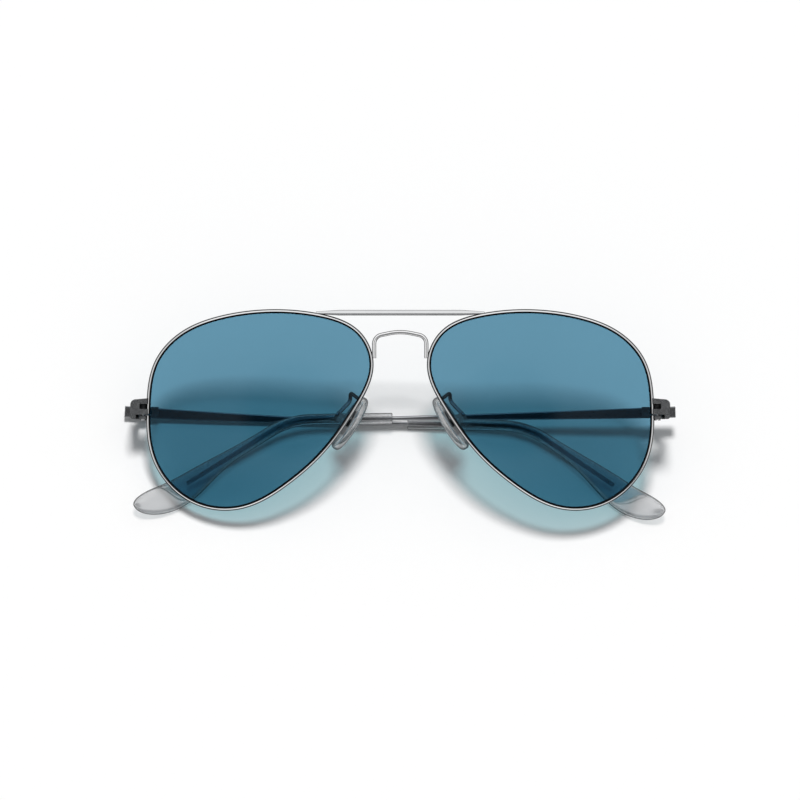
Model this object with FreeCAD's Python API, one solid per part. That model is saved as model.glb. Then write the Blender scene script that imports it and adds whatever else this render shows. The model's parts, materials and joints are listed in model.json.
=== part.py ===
import FreeCAD, Part
import math
import os
from FreeCAD import Placement, Rotation, Vector

# Aviator sunglasses with a double bridge, lying folded on their temple tips.
# The pieces are drawn as worn: X to the right of someone who faces the lenses,
# Y towards the ears and Z up, with X = 0 between the lenses, Y = 0 at the foremost
# point of the lenses and Z = 0 at the middle of the lens height. At the end the whole
# is turned to the way it lies on a table. Sizes are millimetres and degrees.
# "left" and "right" are as seen from in front of the lenses.

# Lenses
lens_width = 58.0
lens_height = 51.0
bridge_width = 14.0
lens_radius = 88.0
lens_thickness = 2.0
lens_wrap = 5.0
bevel_height = 0.5
bevel_thickness = 0.5
bevel_setback = 0.7
lens_clearance = 0.05

# Lens outline, clockwise from the top, as shares of half the clear width and half the
# clear height. The first of each pair points to the temple and the second points up.
outline_shares = [
    (-0.070, 0.997),
    (0.377, 0.926),
    (0.693, 0.777),
    (0.920, 0.495),
    (0.995, 0.045),
    (0.936, -0.514),
    (0.566, -0.938),
    (0.181, -0.975),
    (-0.230, -0.733),
    (-0.495, -0.474),
    (-0.831, 0.031),
    (-0.984, 0.503),
    (-0.879, 0.774),
    (-0.524, 0.956),
]
outline_samples = 48

# Rims: a half-round wire with a groove for the lens, open at one slit
rim_width = 1.1
rim_depth = 2.2
rim_proud = 0.25
groove_front = 0.6
groove_width = 1.0
groove_depth = bevel_height + lens_clearance
slit_height = -1.2
slit_width = 0.2

# Bridge wire and brow bar. The bridge's foot, shoulder and crown are given as distances
# below the top of the lenses' clear edge.
bridge_leg_inset = 0.28
bridge_foot_below = 11.6
bridge_shoulder_below = 6.0
bridge_crown_below = 4.6
bridge_behind_lens = 0.77
bridge_wire = 1.1
bridge_corner_radius = 2.3
bridge_crown_radius = 14.0
bar_end_inset = 14.3
bar_above_lens = 0.1
bar_behind_lens = 0.18
bar_height = 1.4
bar_depth = 1.0
bar_lean_angle = 15.0
bar_end_share = 0.45
bar_taper_length = 6.0
bar_round_share = 0.8

# Hinges: three knuckles on an upright screw
hinge_out = 1.96
hinge_back = 12.4
hinge_z = -0.6
hinge_height = 3.4
knuckle_radius = 1.1
knuckle_gap = 0.08
hinge_screw_radius = 0.6
hinge_bore_clearance = 0.05
hinge_head_radius = 1.0
hinge_head_height = 0.4
middle_knuckle = 1.14
leaf_thickness = 0.7
temple_leaf_length = 4.4
leaf_relief = 0.25
leaf_overlap = 0.05

# End pieces and the blocks that close the rims
end_before_lens = 0.4
end_thickness = 1.4
end_top = 3.1
end_corner_top = 2.85
end_slope_out = 1.0
end_bottom = -2.25
end_inner_out = 0.2
end_corner_radius = 1.4
end_bottom_radius = 0.7
window_width = 2.0
window_height = 1.3
window_z = 1.0
block_depth = 2.0
block_width = 2.0
block_out = 0.3
block_top = 1.9
lock_gap = 0.25
rim_screw_top = 0.3
rim_screw_end_gap = 0.2
rim_screw_radius = 0.5
rim_screw_head_radius = 0.85
rim_screw_head_height = 0.4
screw_clearance = 0.05
screw_slot_width = 0.25
screw_slot_depth = 0.2

# Temples: a flat tapered blade that runs on as a core wire inside the clear tip
temple_length = 141.2
temple_butt = 4.4
butt_clearance = 0.18
blade_thickness = 1.3
blade_height = 2.9
blade_edge_round = 0.2
core_thickness = 1.0
core_height = 1.1
core_edge_round = 0.45
core_run_in = 1.0
core_end = 126.6
lift_length = 80.0
bend_length = 12.0
tail_straight = 24.0
tail_lift_angle = 20.0
bow_start = 60.0
bow_radius = 248.0
rear_slant_angle = 2.4
station_step = 3.0

# How each temple is set: its drop at the hinge, the lift along its straight part, and
# where and how far it bends behind the ear. The front one lies nearer the lenses.
front_drop_angle = 1.7
front_lift_angle = 1.0
front_bend_start = 89.5
front_bend_angle = 31.3
rear_drop_angle = 3.5
rear_lift_angle = 2.5
rear_bend_start = 93.5
rear_bend_angle = 33.5

# Clear tips: a sleeve that swells to a paddle, deeper below the core wire than above it.
# The swell and the rounding are given as distances from the temple's end.
tip_start = 69.0
tip_height = 2.9
tip_thickness = 2.1
paddle_above = 2.7
paddle_below = 4.8
paddle_thickness = 2.5
swell_above_from = 38.0
swell_above_to = 12.0
swell_below_from = 30.0
swell_below_to = 10.0
end_round_above = 7.0
end_round_below = 10.0
end_thickness_share = 0.35
tip_edge_share = 0.85
tip_bore_clearance = 0.05
tip_bore_end_gap = 0.2

# Nose pads, their arms, boxes, inserts and screws
pad_length = 15.4
pad_width = 7.6
pad_thickness = 2.6
pad_round = 0.9
pad_from_lens = 6.0
pad_y = 9.8
pad_z = -3.4
pad_frontal_angle = 31.5
pad_splay_angle = 25.0
insert_length = 7.0
insert_width = 3.0
insert_thickness = 0.5
lug_width = 1.1
lug_radius = 0.85
lug_reach = 1.5
box_wall = 0.45
box_floor = 0.45
box_side_gap = 0.1
box_floor_gap = 0.15
box_length = 2.2
pad_screw_radius = 0.4
pad_screw_clearance = 0.05
pad_screw_head_radius = 0.65
pad_screw_head_height = 0.3
arm_wire = 1.0
arm_bend_radius = 1.3
arm_foot_z = 1.0
arm_foot_out = 0.66
arm_straight = 1.9
arm_back = 5.6
arm_side = 2.5
arm_rise = 1.9
arm_turn_back = 7.6
arm_turn_rise = -0.3

# How the folded glasses lie: the lens plane leans back from the upright view by
# lie_tilt, and lie_roll levels the two tips, one of which lies further back.
lie_tilt = 25.65
lie_roll = 2.77

# Points nearer to each other than this count as one
same_place = 0.01

# Sizes that follow from the ones above
clear_half_width = lens_width / 2 - bevel_height
clear_half_height = lens_height / 2 - bevel_height
lens_x = (lens_width + bridge_width) / 2
lens_outer_x = lens_x + lens_width / 2
sphere_x = lens_x - lens_radius * math.sin(math.radians(lens_wrap))


def sphere_depth(x, z):
    """Depth of the lens front, a sphere, under a point of the lens plane."""
    return lens_radius - math.sqrt(lens_radius**2 - (x - sphere_x) ** 2 - z**2)


bridge_leg_x = bridge_width / 2 - bridge_leg_inset
bridge_leg_foot = clear_half_height - bridge_foot_below
bridge_shoulder = clear_half_height - bridge_shoulder_below
bridge_crown = clear_half_height - bridge_crown_below
bridge_y = sphere_depth(bridge_leg_x, bridge_leg_foot) + bridge_behind_lens
bar_half_length = lens_x - bar_end_inset
bar_z = clear_half_height + bar_above_lens
bar_y = sphere_depth(bar_half_length, bar_z) + bar_behind_lens
end_front_y = sphere_depth(lens_outer_x, 0) - end_before_lens
end_inner_x = lens_outer_x + end_inner_out
block_x = lens_outer_x + block_out
hinge_x = lens_outer_x + hinge_out
hinge_y = end_front_y + hinge_back
end_slope_x = hinge_x + end_slope_out
pad_x = bridge_width / 2 + pad_from_lens
blade_inner = knuckle_radius + leaf_relief - leaf_overlap
blade_middle = blade_inner + blade_thickness / 2
end_outer_x = hinge_x + blade_inner + blade_thickness
end_back_y = hinge_y - temple_butt - butt_clearance
front_set = (front_drop_angle, front_lift_angle, front_bend_start, front_bend_angle)
rear_set = (rear_drop_angle, rear_lift_angle, rear_bend_start, rear_bend_angle)
up = Vector(0, 0, 1)
back = Vector(0, 1, 0)


def box(low_x, high_x, low_y, high_y, low_z, high_z):
    """Block between two values on each axis."""
    corner = Vector(low_x, low_y, low_z)
    return Part.makeBox(high_x - low_x, high_y - low_y, high_z - low_z, corner)


def rod(radius, start, end):
    """Round rod from one point to another."""
    along = end - start
    return Part.makeCylinder(radius, along.Length, start, along)


def rounded_section(centre, side_way, up_way, half_side, half_up, radius):
    """Closed rounded rectangle about a centre, in the plane of two directions."""
    def at(side, height):
        return centre + side_way * side + up_way * height

    inset = radius * (1 - math.sqrt(0.5))
    edges = []
    for side_sign, up_sign in ((1, 1), (-1, 1), (-1, -1), (1, -1)):
        side = side_sign * half_side
        height = up_sign * half_up
        from_side = at(side, height - up_sign * radius)
        from_top = at(side - side_sign * radius, height)
        middle = at(side - side_sign * inset, height - up_sign * inset)
        first, last = from_side, from_top
        if side_sign * up_sign < 0:
            first, last = from_top, from_side
        if edges:
            edges.append(Part.LineSegment(edges[-1].EndPoint, first))
        edges.append(Part.Arc(first, middle, last))
    edges.append(Part.LineSegment(edges[-1].EndPoint, edges[0].StartPoint))
    return Part.Wire([edge.toShape() for edge in edges])


def bent_path(points, radii):
    """Straight runs through points, joined by tangent arcs of the given radii."""
    edges = []
    last = points[0]
    for corner, before, after, radius in zip(points[1:-1], points, points[2:], radii):
        to_before = (before - corner).normalize()
        to_after = (after - corner).normalize()
        half_turn = (math.pi - to_before.getAngle(to_after)) / 2
        setback = radius * math.tan(half_turn)
        inward = (to_before + to_after).normalize()
        reach = radius / math.cos(half_turn) - radius
        start = corner + to_before * setback
        end = corner + to_after * setback
        edges.append(Part.LineSegment(last, start).toShape())
        edges.append(Part.Arc(start, corner + inward * reach, end).toShape())
        last = end
    edges.append(Part.LineSegment(last, points[-1]).toShape())
    return Part.Wire(edges)


def wire_along(path, radius):
    """Round wire along a path."""
    first = path.OrderedEdges[0]
    start = first.valueAt(first.FirstParameter)
    along = first.tangentAt(first.FirstParameter)
    circle = Part.Wire(Part.makeCircle(radius, start, along))
    return path.makePipeShell([circle], True, False)


def largest(shape):
    """The biggest solid of a shape, without the crumbs of a cut."""
    return max(shape.Solids, key=lambda solid: solid.Volume)


def outline_curve():
    """Clear edge of the right lens as a smooth closed curve at Y = 0."""
    points = []
    for across, height in outline_shares:
        x = lens_x + across * clear_half_width
        points.append(Vector(x, 0, height * clear_half_height))
    curve = Part.BSplineCurve()
    curve.interpolate(points, PeriodicFlag=True)
    return curve


def outline_points(curve, offset, on_lens):
    """Points along the clear edge, moved outward, flat or laid on the lens front."""
    span = curve.LastParameter - curve.FirstParameter
    points = []
    for step in range(outline_samples):
        parameter = curve.FirstParameter + span * step / outline_samples
        tangent = curve.tangent(parameter)[0]
        outward = tangent.cross(back).normalize()
        point = curve.value(parameter)
        if outward.dot(point - Vector(lens_x, 0, 0)) < 0:
            outward = -outward
        point = point + outward * offset
        if on_lens:
            point.y = sphere_depth(point.x, point.z)
        points.append(point)
    return points


def closed_wire(points):
    """Smooth closed wire through points."""
    curve = Part.BSplineCurve()
    curve.interpolate(points, PeriodicFlag=True)
    return Part.Wire(curve.toShape())


def lens_prism(curve, offset):
    """Upright-walled block with the lens outline, deep enough for the whole lens."""
    wire = closed_wire(outline_points(curve, offset, False))
    wire.translate(back * -lens_thickness)
    return Part.Face(wire).extrude(back * (lens_radius / 4))


def lens_shell(outer_setback, inner_setback):
    """Spherical shell between two setbacks behind the lens front."""
    centre = Vector(sphere_x, lens_radius, 0)
    outer = Part.makeSphere(lens_radius - outer_setback, centre)
    return outer.cut(Part.makeSphere(lens_radius - inner_setback, centre))


def make_lens(curve):
    """Tinted lens: a curved disc with a thin bevel all round that sits in the rim."""
    disc = lens_prism(curve, -lens_clearance).common(lens_shell(0, lens_thickness))
    tongue_shell = lens_shell(bevel_setback, bevel_setback + bevel_thickness)
    tongue = lens_prism(curve, bevel_height).common(tongue_shell)
    return disc.fuse(tongue).removeSplitter()


def make_rim(curve):
    """Grooved half-round rim, swept round the lens and slit where the blocks close it."""
    spine = closed_wire(outline_points(curve, 0, True))
    edge = spine.Edges[0]
    start = edge.valueAt(edge.FirstParameter)
    tangent = edge.tangentAt(edge.FirstParameter)
    outward = tangent.cross(back).normalize()
    if outward.dot(start - Vector(lens_x, start.y, 0)) < 0:
        outward = -outward

    def at(radial, depth):
        return start + outward * radial + back * depth

    back_edge = rim_depth - rim_proud
    corners = [
        at(0, back_edge),
        at(0, groove_front + groove_width),
        at(groove_depth, groove_front + groove_width),
        at(groove_depth, groove_front),
        at(0, groove_front),
        at(0, -rim_proud),
    ]
    edges = [Part.LineSegment(a, b).toShape() for a, b in zip(corners, corners[1:])]
    crown = at(rim_width, rim_depth / 2 - rim_proud)
    edges.append(Part.Arc(corners[-1], crown, corners[0]).toShape())
    sweep = Part.BRepOffsetAPI.MakePipeShell(spine)
    sweep.setBiNormalMode(back)
    sweep.add(Part.Wire(edges), False, False)
    sweep.build()
    sweep.makeSolid()
    ring = sweep.shape()
    low = slit_height - slit_width / 2
    slit = box(lens_x, end_outer_x, 0, hinge_y, low, low + slit_width)
    return largest(ring.cut(slit))


def make_brow_bar():
    """Straight flat bar between the tops of the rims, leaning back and thinner at its ends."""
    lean = math.radians(bar_lean_angle)
    side_way = back * math.cos(lean) - up * math.sin(lean)
    up_way = back * math.sin(lean) + up * math.cos(lean)
    sections = []
    thick_half = bar_half_length - bar_taper_length
    stations = [-bar_half_length, -thick_half, 0, thick_half, bar_half_length]
    for x in stations:
        share = bar_end_share if abs(x) > thick_half else 1
        half_up = share * bar_height / 2
        half_side = share * bar_depth / 2
        radius = half_side * bar_round_share
        centre = Vector(x, bar_y, bar_z)
        sections.append(rounded_section(centre, side_way, up_way, half_side, half_up, radius))
    return Part.makeLoft(sections, True, True)


def make_bridge():
    """Bridge wire: two legs up from the rims, and a shallow arch between them."""
    points = [
        Vector(-bridge_leg_x, bridge_y, bridge_leg_foot),
        Vector(-bridge_leg_x, bridge_y, bridge_shoulder),
        Vector(0, bridge_y, bridge_crown),
        Vector(bridge_leg_x, bridge_y, bridge_shoulder),
        Vector(bridge_leg_x, bridge_y, bridge_leg_foot),
    ]
    radii = [bridge_corner_radius, bridge_crown_radius, bridge_corner_radius]
    return wire_along(bent_path(points, radii), bridge_wire / 2)


def long_outer_edges(piece, height):
    """Edges that run back along the end piece's outer side at a height."""
    found = []
    for edge in piece.Edges:
        middle = edge.CenterOfMass
        aside = math.hypot(middle.x - end_outer_x, middle.z - height)
        if aside < same_place and edge.BoundBox.YLength > end_thickness:
            found.append(edge)
    return found


def make_end_piece():
    """End piece: a front plate on the rim, a side wall to the hinge and a half block."""
    outline = [
        (end_inner_x, end_top),
        (end_slope_x, end_corner_top),
        (end_outer_x, end_corner_top),
        (end_outer_x, end_bottom),
        (end_outer_x - end_thickness, end_bottom),
        (end_outer_x - end_thickness, slit_height + slit_width / 2),
        (end_inner_x, slit_height + slit_width / 2),
    ]
    corners = [Vector(x, end_front_y, z) for x, z in outline]
    plate = Part.Face(Part.makePolygon(corners + corners[:1])).extrude(back * end_thickness)
    wall_inner = end_outer_x - end_thickness
    wall = box(wall_inner, end_outer_x, end_front_y, end_back_y, end_bottom, end_corner_top)
    block_low = slit_height + lock_gap / 2
    block_front = end_front_y + end_thickness
    block_back = block_front + block_depth
    block_high_x = block_x + block_width
    block = box(block_x, block_high_x, block_front, block_back, block_low, block_top)
    piece = plate.fuse([wall, block]).removeSplitter()
    window_low = window_z - window_height / 2
    window_end = end_inner_x + window_width
    window_high = window_low + window_height
    window = box(end_inner_x, window_end, end_front_y, block_front, window_low, window_high)
    piece = piece.cut(window)
    piece = piece.makeFillet(end_corner_radius, long_outer_edges(piece, end_corner_top))
    piece = piece.makeFillet(end_bottom_radius, long_outer_edges(piece, end_bottom))
    bore_top = rim_screw_top + rim_screw_end_gap
    return piece.cut(rim_screw_rod(rim_screw_radius + screw_clearance, bore_top))


def rim_screw_place():
    """Point on the rim screw's axis, level with the slit."""
    x = block_x + block_width / 2
    y = end_front_y + end_thickness + block_depth / 2
    return Vector(x, y, slit_height)


def rim_screw_rod(radius, top):
    """Rod on the rim screw's axis, from under the lower block into the upper one."""
    place = rim_screw_place()
    low = Vector(place.x, place.y, end_bottom)
    high = Vector(place.x, place.y, top)
    return rod(radius, low, high)


def make_rim_lock():
    """Lower half of the closing block, drawn up to the upper half by the rim screw."""
    high = slit_height - lock_gap / 2
    block_front = end_front_y + end_thickness / 2
    block_back = end_front_y + end_thickness + block_depth
    block_high_x = block_x + block_width
    block = box(end_inner_x, block_high_x, block_front, block_back, end_bottom, high)
    return block.cut(rim_screw_rod(rim_screw_radius + screw_clearance, rim_screw_top))


def slotted_head(centre, outward, radius, height):
    """Low round screw head with a straight slot across it."""
    top = centre + outward * height
    head = rod(radius, centre, top)
    across = outward.cross(Vector(1, 0, 0))
    if across.Length < same_place:
        across = outward.cross(up)
    across.normalize()
    side = outward.cross(across)
    corner = top - across * (radius * 2) - side * (screw_slot_width / 2)
    corners = [
        corner,
        corner + across * (radius * 4),
        corner + across * (radius * 4) + side * screw_slot_width,
        corner + side * screw_slot_width,
    ]
    slot = Part.Face(Part.makePolygon(corners + corners[:1])).extrude(outward * -screw_slot_depth)
    return head.cut(slot)


def make_rim_screw():
    """Screw that closes the rim, with its head under the lower block."""
    place = rim_screw_place()
    seat = Vector(place.x, place.y, end_bottom)
    head = slotted_head(seat, -up, rim_screw_head_radius, rim_screw_head_height)
    return rim_screw_rod(rim_screw_radius, rim_screw_top).fuse(head)


def hinge_point(height):
    """Point on the right hinge's axis at a height from the hinge's middle."""
    return Vector(hinge_x, hinge_y, hinge_z + height)


def hinge_rod(radius, low, high):
    """Rod on the right hinge's axis between two heights from its middle."""
    return rod(radius, hinge_point(low), hinge_point(high))


def make_front_leaf():
    """Front hinge leaf on the end piece's inner side, with the two outer knuckles."""
    half = hinge_height / 2
    gap_half = middle_knuckle / 2 + knuckle_gap
    outer_x = end_outer_x - end_thickness
    leaf = box(
        outer_x - leaf_thickness,
        outer_x,
        end_front_y + end_thickness,
        hinge_y,
        hinge_z - half,
        hinge_z + half,
    )
    leaf = leaf.fuse(hinge_rod(knuckle_radius, -half, half)).removeSplitter()
    room = knuckle_radius + leaf_relief
    cut = hinge_rod(room, -gap_half, gap_half)
    leaf = leaf.cut(cut)
    return leaf.cut(hinge_rod(hinge_screw_radius + hinge_bore_clearance, -half, half))


def make_temple_leaf():
    """Temple hinge leaf on the blade's inner side, with the middle knuckle."""
    half = middle_knuckle / 2
    blade_half = blade_height / 2
    low_y = hinge_y + blade_inner - leaf_thickness
    high_y = hinge_y + blade_inner
    leaf = box(
        hinge_x - temple_leaf_length,
        hinge_x,
        low_y,
        high_y,
        hinge_z - blade_half,
        hinge_z + blade_half,
    )
    clear_x = hinge_x - knuckle_radius - leaf_relief
    room = box(clear_x, hinge_x, low_y, high_y, hinge_z - blade_half, hinge_z + blade_half)
    tongue = box(clear_x, hinge_x, low_y, high_y, hinge_z - half, hinge_z + half)
    leaf = leaf.cut(room).fuse([tongue, hinge_rod(knuckle_radius, -half, half)])
    leaf = leaf.removeSplitter()
    return leaf.cut(hinge_rod(hinge_screw_radius + hinge_bore_clearance, -half, half))


def make_hinge_screw():
    """Hinge screw: a plain shank through the three knuckles and a low slotted head."""
    half = hinge_height / 2
    head = slotted_head(hinge_point(half), up, hinge_head_radius, hinge_head_height)
    return hinge_rod(hinge_screw_radius, -half, half).fuse(head)


def arm_place(distance, temple_set):
    """Centre and direction of the right temple at a distance from its hinge axis.

    The arm leaves the hinge with a slight drop, lifts a little, bends down behind the
    ear and lifts again at its end, as runs of steady curvature. It bows inward too.
    """
    drop, lift, bend_start, bend = temple_set
    tail_run = temple_length - bend_start - bend_length - tail_straight
    runs = [
        (lift_length, -lift),
        (bend_start - lift_length, 0),
        (bend_length, bend),
        (tail_straight, 0),
        (tail_run, -tail_lift_angle),
    ]
    along = min(distance, 0)
    height = 0
    slope = math.radians(drop)
    height -= along * math.tan(slope)
    left = max(distance, 0)
    for length, turn in runs:
        step = min(left, length)
        turned = math.radians(turn) * step / length
        chord = step
        if turned:
            chord = step * math.sin(turned / 2) / (turned / 2)
        along += chord * math.cos(slope + turned / 2)
        height -= chord * math.sin(slope + turned / 2)
        slope += turned
        left -= step
    past = max(distance - bow_start, 0)
    depth = blade_middle - past**2 / (2 * bow_radius)
    lean = past / bow_radius
    centre = Vector(hinge_x - along, hinge_y + depth, hinge_z + height)
    direction = Vector(-math.cos(slope), -lean, -math.sin(slope)).normalize()
    return centre, direction


def arm_section(distance, temple_set, half_side, half_up, radius, raised=0):
    """Rounded section of the right temple, square to its path and raised off it."""
    centre, direction = arm_place(distance, temple_set)
    side_way = (back - direction * direction.dot(back)).normalize()
    up_way = side_way.cross(direction).normalize()
    if up_way.z < 0:
        up_way = -up_way
    centre += up_way * raised
    return rounded_section(centre, side_way, up_way, half_side, half_up, radius)


def steps_between(start, end):
    """Distances from start to end, at most one station step apart."""
    count = max(math.ceil((end - start) / station_step), 1)
    return [start + (end - start) * step / count for step in range(count + 1)]


def core_loft(temple_set, clearance, end_gap):
    """Core wire of a temple, or the bore for it, from just before the tip's mouth."""
    stations = steps_between(tip_start - core_run_in, core_end)
    if end_gap:
        stations.append(core_end + end_gap)
    half_side = core_thickness / 2 + clearance
    half_up = core_height / 2 + clearance
    radius = core_edge_round + clearance
    sections = []
    for station in stations:
        sections.append(arm_section(station, temple_set, half_side, half_up, radius))
    return Part.makeLoft(sections, True, True)


def make_temple_arm(temple_set):
    """Temple: a flat blade that tapers from the hinge to the core wire in the tip."""
    blade_end = tip_start - core_run_in
    sections = []
    for station in [-temple_butt] + steps_between(0, blade_end)[::3] + [blade_end]:
        share = max(station / blade_end, 0)
        half_up = (blade_height + (core_height - blade_height) * share) / 2
        half_side = (blade_thickness + (core_thickness - blade_thickness) * share) / 2
        radius = blade_edge_round + (core_edge_round - blade_edge_round) * share
        sections.append(arm_section(station, temple_set, half_side, half_up, radius))
    blade = Part.makeLoft(sections, True, True)
    return blade.fuse(core_loft(temple_set, 0, 0))


def swell(left, swell_from, swell_to):
    """Share of a swell, from 0 to 1 on a smooth step, at a distance left to the end."""
    share = min(max((swell_from - left) / (swell_from - swell_to), 0), 1)
    return share * share * (3 - 2 * share)


def rounding(left, round_length):
    """Share of the height that an elliptic end leaves at a distance left to the end."""
    past = max(round_length - left, 0) / round_length
    return math.sqrt(1 - past**2)


def make_temple_tip(temple_set):
    """Clear tip over the temple's end: a sleeve that swells to a rounded paddle."""
    round_start = temple_length - end_round_below
    stations = steps_between(tip_start, round_start)
    for angle in (20, 35, 48, 60, 70, 78, 84):
        stations.append(round_start + end_round_below * math.sin(math.radians(angle)))
    sections = []
    for station in stations:
        left = temple_length - station
        share_above = swell(left, swell_above_from, swell_above_to)
        share_below = swell(left, swell_below_from, swell_below_to)
        above = tip_height / 2 + (paddle_above - tip_height / 2) * share_above
        below = tip_height / 2 + (paddle_below - tip_height / 2) * share_below
        above *= rounding(left, end_round_above)
        below *= rounding(left, end_round_below)
        half_up = (above + below) / 2
        half_side = (tip_thickness + (paddle_thickness - tip_thickness) * share_below) / 2
        thinning = rounding(left, end_round_above)
        half_side *= end_thickness_share + (1 - end_thickness_share) * thinning
        radius = min(half_side, half_up) * tip_edge_share
        raised = (above - below) / 2
        section = arm_section(station, temple_set, half_side, half_up, radius, raised)
        sections.append(section)
    sleeve = Part.makeLoft(sections, True, True)
    return sleeve.cut(core_loft(temple_set, tip_bore_clearance, tip_bore_end_gap))


def pad_axes():
    """Directions of the right nose pad: along it, across it and towards the nose."""
    frontal = math.radians(pad_frontal_angle)
    splay = math.radians(pad_splay_angle)
    along = Vector(-math.sin(frontal), 0, math.cos(frontal))
    rough_across = Vector(math.sin(splay), math.cos(splay), 0)
    towards_nose = along.cross(rough_across).normalize()
    if towards_nose.x > 0:
        towards_nose = -towards_nose
    across = towards_nose.cross(along).normalize()
    if across.y < 0:
        across = -across
    return along, across, towards_nose


def pad_point(along_by, across_by, nose_by):
    """Point given from the right pad's middle along its own three directions."""
    along, across, nose = pad_axes()
    centre = Vector(pad_x, pad_y, pad_z)
    return centre + along * along_by + across * across_by + nose * nose_by


def pad_block(half_along, half_across, low_nose, high_nose):
    """Block about the right pad's middle, square to the pad."""
    corners = [
        pad_point(-half_along, -half_across, low_nose),
        pad_point(half_along, -half_across, low_nose),
        pad_point(half_along, half_across, low_nose),
        pad_point(-half_along, half_across, low_nose),
    ]
    face = Part.Face(Part.makePolygon(corners + corners[:1]))
    return face.extrude(pad_axes()[2] * (high_nose - low_nose))


def pad_screw_depth():
    """Distance of the pad screw's axis behind the pad's middle."""
    return pad_thickness / 2 + lug_reach


def make_pad_insert():
    """Insert inside the pad: a thin plate with a lug that the pad screw goes through."""
    half = insert_thickness / 2
    plate = pad_block(insert_length / 2, insert_width / 2, -half, half)
    depth = pad_screw_depth()
    lug = pad_block(lug_radius, lug_width / 2, -depth, -half)
    eye = rod(lug_radius, pad_point(0, -lug_width / 2, -depth), pad_point(0, lug_width / 2, -depth))
    insert = plate.fuse([lug, eye]).removeSplitter()
    reach = lug_width
    hole_radius = pad_screw_radius + pad_screw_clearance
    return insert.cut(rod(hole_radius, pad_point(0, -reach, -depth), pad_point(0, reach, -depth)))


def make_nose_pad(insert):
    """Clear soft pad, an oval cushion moulded round the insert."""
    along, across, nose = pad_axes()
    ellipse = Part.Ellipse(
        pad_point(pad_length / 2, 0, -pad_thickness / 2),
        pad_point(0, pad_width / 2, -pad_thickness / 2),
        pad_point(0, 0, -pad_thickness / 2),
    )
    face = Part.Face(Part.Wire(ellipse.toShape()))
    pad = face.extrude(nose * pad_thickness)
    rims = [edge for edge in pad.Edges if edge.Length > pad_length]
    pad = pad.makeFillet(pad_round, rims)
    return pad.cut(insert)


def make_pad_box():
    """Small open box on the pad arm that holds the insert's lug between two walls."""
    depth = pad_screw_depth()
    inner_half = lug_width / 2 + box_side_gap
    floor_top = depth + lug_radius + box_floor_gap
    mouth = depth - lug_radius
    outer = pad_block(box_length / 2, inner_half + box_wall, -floor_top - box_floor, -mouth)
    inner = pad_block(box_length, inner_half, -floor_top, -mouth)
    reach = inner_half + box_wall
    hole_radius = pad_screw_radius + pad_screw_clearance
    hole = rod(hole_radius, pad_point(0, -reach, -depth), pad_point(0, reach, -depth))
    return outer.cut(inner).cut(hole)


def make_pad_screw():
    """Pad screw across the box, with a low slotted head on its rear side."""
    depth = pad_screw_depth()
    reach = lug_width / 2 + box_side_gap + box_wall
    across = pad_axes()[1]
    seat = pad_point(0, reach, -depth)
    head = slotted_head(seat, across, pad_screw_head_radius, pad_screw_head_height)
    return rod(pad_screw_radius, pad_point(0, -reach, -depth), seat).fuse(head)


def make_pad_arm(curve):
    """Curved wire from the back of the rim, past the groove, to the pad box's floor."""
    depth = pad_screw_depth() + lug_radius + box_floor_gap + box_floor
    nose_side = Vector(lens_x - clear_half_width, 0, arm_foot_z)
    parameter = curve.parameter(nose_side)
    foot = curve.value(parameter)
    outward = curve.tangent(parameter)[0].cross(back).normalize()
    if outward.x > 0:
        outward = -outward
    foot.y = sphere_depth(foot.x, foot.z) + groove_front + groove_width
    foot += outward * arm_foot_out
    points = [
        foot,
        foot + back * arm_straight,
        foot + Vector(arm_side, arm_back, arm_rise),
        foot + Vector(arm_side, arm_turn_back, arm_turn_rise),
        pad_point(0, 0, -depth),
    ]
    return wire_along(bent_path(points, [arm_bend_radius] * 3), arm_wire / 2)


def mirrored(shape):
    """The same piece for the left side."""
    return shape.mirror(Vector(0, 0, 0), Vector(1, 0, 0))


def build_front():
    """Pieces of the front, by node name."""
    curve = outline_curve()
    rim = make_rim(curve)
    right = {
        "lens": make_lens(curve),
        "rim": rim,
        "end_piece": largest(make_end_piece().cut(rim)),
        "rim_lock": largest(make_rim_lock().cut(rim)),
        "rim_screw": make_rim_screw(),
        "front_hinge_leaf": make_front_leaf(),
        "hinge_screw": make_hinge_screw(),
        "pad_box": make_pad_box(),
        "pad_screw": make_pad_screw(),
    }
    right["pad_arm"] = largest(make_pad_arm(curve).cut(rim).cut(right["pad_box"]))
    insert = make_pad_insert()
    right["pad_insert"] = insert
    right["nose_pad"] = make_nose_pad(insert)
    pieces = {}
    for name, shape in right.items():
        pieces[name + "_right"] = shape
        pieces[name + "_left"] = mirrored(shape)
    rims = rim.fuse(mirrored(rim))
    pieces["brow_bar"] = largest(make_brow_bar().cut(rims))
    pieces["bridge"] = largest(make_bridge().cut(rims))
    return pieces


def build_temples():
    """Pieces of the two folded temples, by node name.

    The right one lies nearer the lenses. The left one lies over it, so it stays open
    by a slant and drops a little more.
    """
    pieces = {
        "temple_arm_right": make_temple_arm(front_set),
        "temple_tip_right": make_temple_tip(front_set),
        "temple_hinge_leaf_right": make_temple_leaf(),
    }
    left = {
        "temple_arm_left": make_temple_arm(rear_set),
        "temple_tip_left": make_temple_tip(rear_set),
        "temple_hinge_leaf_left": make_temple_leaf(),
    }
    axis_point = Vector(-hinge_x, hinge_y, hinge_z)
    for name, shape in left.items():
        shape = mirrored(shape)
        shape.rotate(axis_point, up, rear_slant_angle)
        pieces[name] = shape
    return pieces


def lying_placement():
    """Turn from the worn position to the way the folded glasses lie on a table."""
    roll = Rotation(up, -lie_roll)
    tilt = Rotation(Vector(1, 0, 0), lie_tilt - 90)
    return Placement(Vector(0, 0, 0), tilt.multiply(roll))


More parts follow.
